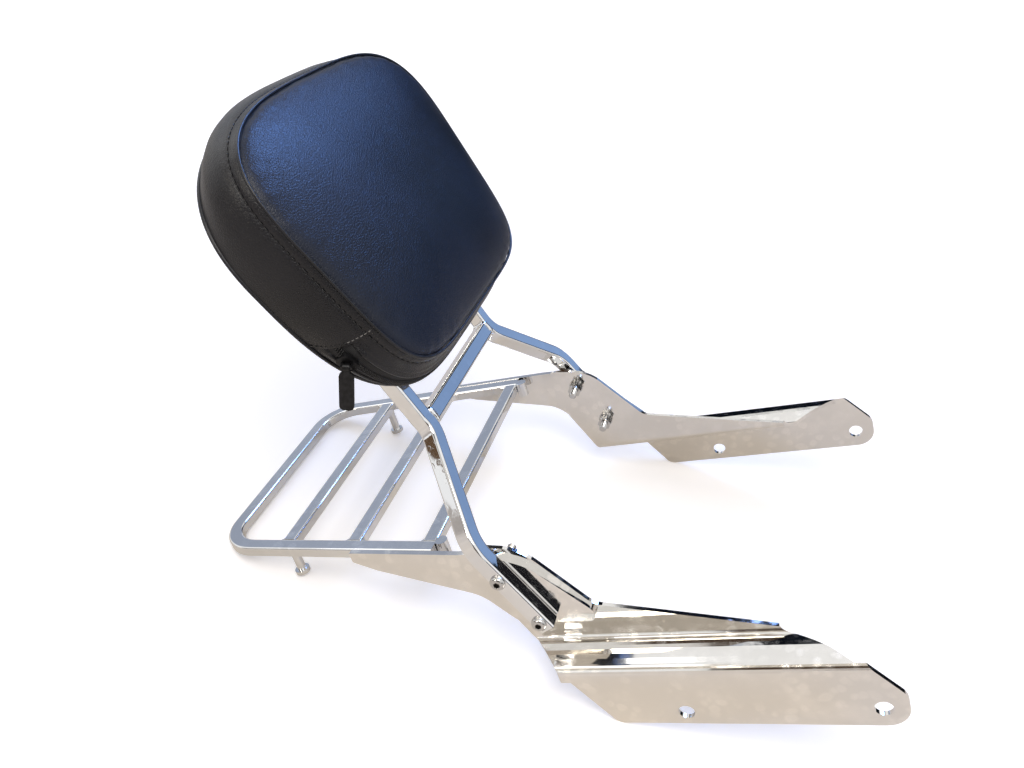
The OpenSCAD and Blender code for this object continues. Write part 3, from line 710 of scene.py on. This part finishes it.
def tube_piece(name, share, z, radius, proud):
    """A closed tube along the pad's edge."""
    rings = [[place(*edge(t, share, proud + radius * math.cos(a)), z + radius * math.sin(a))
              for a in circle(TUBE_SIDES)] for t in TURNS]
    points, faces = skin_rings(rings, loop=True)
    return piece(name, points, faces, piping_leather)


welt = tube_piece("pad_front_welt", 1.0, WELT_Z, WELT_R, WELT_PROUD)
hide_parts("pad_front_piping")
back_piping = tube_piece("pad_back_piping_sewn", 0.0, PIPING_Z, PIPING_R, PIPING_PROUD)
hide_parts("pad_back_piping")
print("welt", round(ROUND), "mm long")

# %% [markdown]
# ## Stitching
#
# A row of topstitches runs in its own shallow groove 6 mm behind the front seam. The join of
# band and gusset is closed with black thread towards the back and a paler one towards the
# front. Each stitch is a short capsule bowed into the leather at both ends, and all stitches
# of a row make one mesh.

# %% Stitches
# Share of the stitch's length, and width and lift there as shares of the thread's radius.
STITCH_ROWS = ((0.0, 0.35, -0.35), (0.2, 0.9, 0.2), (0.5, 1.0, 0.45), (0.8, 0.9, 0.2),
               (1.0, 0.35, -0.35))
STITCH_SIDES = 6
THREAD_R_M, PALE_THREAD_R_M = 0.00042, 0.00036
STITCH_MM, GAP_MM, STITCH_Z = 2.9, 1.3, 38.8
STITCH_PROUD, GUSSET_STITCH_PROUD = 0.1, -0.25
OUT_AT_Z = 20.0


def stitch_row(name, path, radius, material):
    """path holds (start, end, outward) for each stitch, in metres."""
    points, faces = [], []
    for start, end, out in path:
        along = (end - start).normalized()
        side = along.cross(out).normalized()
        rings = []
        for share, width, lift in STITCH_ROWS:
            centre = start.lerp(end, share) + out * (radius * lift)
            rings.append([centre + (side * math.cos(a) + out * math.sin(a)) * radius * width
                          for a in circle(STITCH_SIDES)])
        add_rod(points, faces, rings)
    piece(name, points, faces, material)


def edge_out(t, share):
    """The way out of the band at an angle, as a unit vector in the object's frame."""
    a, b = place(*edge(t, share), OUT_AT_Z), place(*edge(t, share, 1.0), OUT_AT_Z)
    return (b - a).normalized()


stitch_count = int(ROUND / (STITCH_MM + GAP_MM))
stitch_turns, _ = even_turns(stitch_count)
stitch_share = band_share(STITCH_Z)
path = []
for t, t_next in zip(stitch_turns, stitch_turns[1:] + [stitch_turns[0] + 360.0]):
    t_end = t + (t_next - t) * STITCH_MM / (STITCH_MM + GAP_MM)
    proud = GUSSET_STITCH_PROUD if GUSSET[0] < t % 360 < GUSSET[1] else STITCH_PROUD
    path.append((place(*edge(t, stitch_share, proud), STITCH_Z),
                 place(*edge(t_end, stitch_share, proud), STITCH_Z), edge_out(t, 1.0)))
stitch_row("pad_topstitch", path, THREAD_R_M, thread_black)
print("topstitches", len(path))

# %% Join seams of band and gusset
JOIN_STITCHES, DARK_STITCHES = 14, 8
JOIN_LOW, JOIN_HIGH = 3.0, 43.5
JOIN_INSET_DEG, JOIN_PROUD = 0.9, 0.75
JOIN_FROM, JOIN_TO = 0.12, 0.78


def join_path(turn_deg, inward):
    spots = []
    for i in range(JOIN_STITCHES + 1):
        z = JOIN_LOW + (JOIN_HIGH - JOIN_LOW) * i / JOIN_STITCHES
        spots.append(place(*edge(slanted(turn_deg, z) + inward, band_share(z), JOIN_PROUD), z))
    out = edge_out(turn_deg, 0.5)
    return [(a.lerp(b, JOIN_FROM), a.lerp(b, JOIN_TO), out) for a, b in zip(spots, spots[1:])]


near_join = join_path(GUSSET[0], -JOIN_INSET_DEG)
far_join = join_path(GUSSET[1] - 360.0, JOIN_INSET_DEG)
stitch_row("pad_join_stitch", near_join[:DARK_STITCHES] + far_join[:DARK_STITCHES],
           THREAD_R_M, thread_black)
stitch_row("pad_join_stitch_pale", near_join[DARK_STITCHES:] + far_join[DARK_STITCHES:],
           PALE_THREAD_R_M, thread_pale)
print("join stitches", len(near_join) + len(far_join))

# %% [markdown]
# ## Zip
#
# The zip is a woven tape with a nylon coil. The coil is two rows of small loops that meet in
# the middle; each loop is a short bent bar, close enough to read as teeth in the picture.

# %% Tape and coil
ZIP = (193.0, 347.0)
ZIP_POINTS = 150
ZIP_Z, TAPE_PROUD, COIL_PROUD = 18.0, 0.9, 1.2
TAPE_PROFILE = ((10.6, -0.4), (11.0, 0.0), (15.0, 0.0), (21.0, 0.0), (27.0, 0.0), (27.4, -0.4))
TOOTH_MM = 1.35
# Reach to the side, lift and width along a tooth, as shares of the sizes below, in metres.
TOOTH_ROWS = ((-0.1, 0.55, 0.26), (0.35, 0.75, 0.30), (0.8, 0.5, 0.26), (1.0, 0.0, 0.22))
TOOTH_REACH_M, TOOTH_LIFT_M, TOOTH_WIDE_M = 0.0022, 0.0018, 0.0014
TOOTH_STAGGER_M = 0.0003
TOOTH_CORNERS = (0.25, 0.75, 1.25, 1.75)
AHEAD_DEG = 0.5


def on_side(t, z, proud):
    """A point of the pad's side at an angle and a height, this far out of the edge."""
    return place(*edge(t, band_share(z), proud), z)


def zip_lift(t, proud):
    """Like the gusset's folds, the zip rises from under the band's flap."""
    return sunk_at_ends(t, ZIP_Z, proud)


zip_share = band_share(ZIP_Z)
zip_turns, zip_length = even_turns(ZIP_POINTS, *ZIP, share=zip_share)
rings = [[on_side(t, z, proud + zip_lift(t, TAPE_PROUD)) for t in zip_turns]
         for z, proud in TAPE_PROFILE]
points, faces = skin_rings(rings, closed_round=False)
tape = piece("zip_tape_woven", points, faces, zip_weave)
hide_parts("zip_tape")

tooth_turns, _ = even_turns(int(zip_length / TOOTH_MM), *ZIP, share=zip_share)
points, faces = [], []
for t in tooth_turns:
    out = edge_out(t, zip_share)
    here, ahead = (on_side(a, ZIP_Z, zip_lift(a, COIL_PROUD)) for a in (t, t + AHEAD_DEG))
    along = (ahead - here).normalized()
    across = along.cross(out).normalized()
    for side in (-1, 1):
        start = here + along * (TOOTH_STAGGER_M * side)
        rings = []
        for reach, lift, wide in TOOTH_ROWS:
            centre = (start + across * (side * reach * TOOTH_REACH_M)
                      + out * (lift * TOOTH_LIFT_M))
            rings.append([centre + (along * math.cos(a * math.pi) + out * math.sin(a * math.pi))
                          * (wide * TOOTH_WIDE_M) for a in TOOTH_CORNERS])
        add_rod(points, faces, rings)
coil = piece("zip_coil_teeth", points, faces, zip_plastic)
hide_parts("zip_coil")
print("zip", round(zip_length), "mm with", len(tooth_turns), "teeth a side")

# %% [markdown]
# ## Screws of the legs
#
# Four button-head screws hold the legs, the rack's plates and the brackets together. The head
# is a low dome with a hexagonal socket, and the end that shows past the nut has a thread. Both
# come from one lathe profile whose innermost rings are pulled out to a hexagon.

# %% Button heads with hexagon sockets
BOLTS_XZ = ((-12.93, 78.87), (17.12, 52.47))
LEG_LEAN = math.radians(41.3)
LEG_OUT = 134.0
HEAD_R, HEAD_H, SHANK_R, SHANK_MM = 5.25, 3.3, 3.0, 36.0
KEY_HALF, SOCKET_MM = 2.0, 2.0
BEVEL_MM, BEVEL_WIDE = 0.12, 0.35
DOME_STEPS, DOME_FROM_DEG = 8, 12
DOME_FLAT_R, DOME_ROUND_R, DOME_FOOT = 2.6, 2.65, 0.55
RIM_MM, RIM_CUT = 0.3, 0.15
THREAD_MM, PITCH, THREAD_DEPTH, TIP_CUT = 15.0, 1.0, 0.45, 0.7
AXIS_R = 0.02
ROUND_SIDES = 36
SHARP_DEG = 32
# Faces this far inside the head's top, and this far past the key's half width, are socket;
# they get the near-black painted shade of the recess.
SOCKET_BELOW, SOCKET_BESIDE = 0.3, 0.4


def hexagon(a, half):
    """Radius of a hexagon of a given half width across flats at an angle."""
    step = math.pi / 3
    return half / math.cos((a + step / 2) % step - step / 2)


def screw_profile():
    """Radius, height above the leg and whether the ring is a hexagon, from socket to tip."""
    rows = [(KEY_HALF * AXIS_R, HEAD_H - SOCKET_MM, True), (KEY_HALF, HEAD_H - SOCKET_MM, True),
            (KEY_HALF, HEAD_H - BEVEL_MM, True), (KEY_HALF + BEVEL_WIDE, HEAD_H, False)]
    for i in range(1, DOME_STEPS + 1):
        a = math.radians(DOME_FROM_DEG + (90 - DOME_FROM_DEG) * i / DOME_STEPS)
        rows.append((DOME_FLAT_R + DOME_ROUND_R * math.sin(a),
                     DOME_FOOT + (HEAD_H - DOME_FOOT) * math.cos(a), False))
    depth = SHANK_MM - THREAD_MM
    rows += [(HEAD_R, RIM_MM, False), (HEAD_R - RIM_CUT, 0.0, False), (SHANK_R, 0.0, False),
             (SHANK_R, -depth, False)]
    while depth < SHANK_MM - PITCH:
        rows += [(SHANK_R - THREAD_DEPTH, -(depth + PITCH / 2), False),
                 (SHANK_R, -(depth + PITCH), False)]
        depth += PITCH
    return rows + [(SHANK_R - TIP_CUT, -SHANK_MM, False), (AXIS_R, -SHANK_MM, False)]


def in_socket(centre):
    """Whether a point, in metres, lies in one of the four sockets."""
    beside = min(math.hypot(centre.x - x * MM, centre.z - z * MM) for x, z in BOLTS_XZ)
    outward = abs(centre.y)
    return (beside < (KEY_HALF + SOCKET_BESIDE) * MM
            and LEG_OUT * MM < outward < (LEG_OUT + HEAD_H - SOCKET_BELOW) * MM)


points, faces = [], []
for side in (-1, 1):
    for bolt in BOLTS_XZ:
        rings = [[round_y_axis(bolt, LEG_LEAN, hexagon(a, radius) if six else radius, a,
                               side * (LEG_OUT + out)) for a in circle(ROUND_SIDES)]
                 for radius, out, six in screw_profile()]
        add_rod(points, faces, rings)
screws = piece("leg_button_screws", points, faces, chrome_bolt)
screws.data.set_sharp_from_angle(angle=math.radians(SHARP_DEG))
# The socket faces take the second slot: painted shade in the recess.
screws.data.materials.append(socket_painted_shade)
for poly in screws.data.polygons:
    if in_socket(poly.center):
        poly.material_index = 1
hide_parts("leg_bolts")
print("screws", len(BOLTS_XZ) * 2, "with", len(faces), "faces")

# %% [markdown]
# ## Weld beads of the crossbar
#
# The crossbar is welded between the legs and polished over, so a soft bead runs round each
# end. It's one loop of small circles round the bar's square section, a little uneven as a
# polished weld is.

# %% Weld beads
CROSS_XZ, CROSS_HALF, CROSS_END = (-86.55, 143.55), 6.0, 64.9
CROSS_TILT = math.radians(44.4)
CORNER_POWER = 4.5
BEAD_R, BEAD_SUNK, BEAD_FLAT = 2.1, 0.5, 0.8
BEAD_WAVE, BEAD_WAVES, BEAD_UNEVEN = 0.10, 5, 0.03
BEAD_POINTS, BEAD_SIDES = 72, 12

uneven = random.Random(4)
points, faces = [], []
for side in (-1, 1):
    rings = []
    for a in circle(BEAD_POINTS):
        corner = 1.0 / (abs(math.cos(a)) ** CORNER_POWER
                        + abs(math.sin(a)) ** CORNER_POWER) ** (1 / CORNER_POWER)
        bead = BEAD_R * (1 + BEAD_WAVE * math.sin(BEAD_WAVES * a + side)
                         + uneven.uniform(-BEAD_UNEVEN, BEAD_UNEVEN))
        rings.append([round_y_axis(CROSS_XZ, CROSS_TILT, CROSS_HALF * corner - BEAD_SUNK
                                   + bead * BEAD_FLAT * math.cos(b), a,
                                   side * (CROSS_END + bead * math.sin(b)))
                      for b in circle(BEAD_SIDES)])
    add_rod(points, faces, rings, loop=True)
piece("crossbar_weld_beads", points, faces, chrome_bar)
print("weld beads", len(faces), "faces")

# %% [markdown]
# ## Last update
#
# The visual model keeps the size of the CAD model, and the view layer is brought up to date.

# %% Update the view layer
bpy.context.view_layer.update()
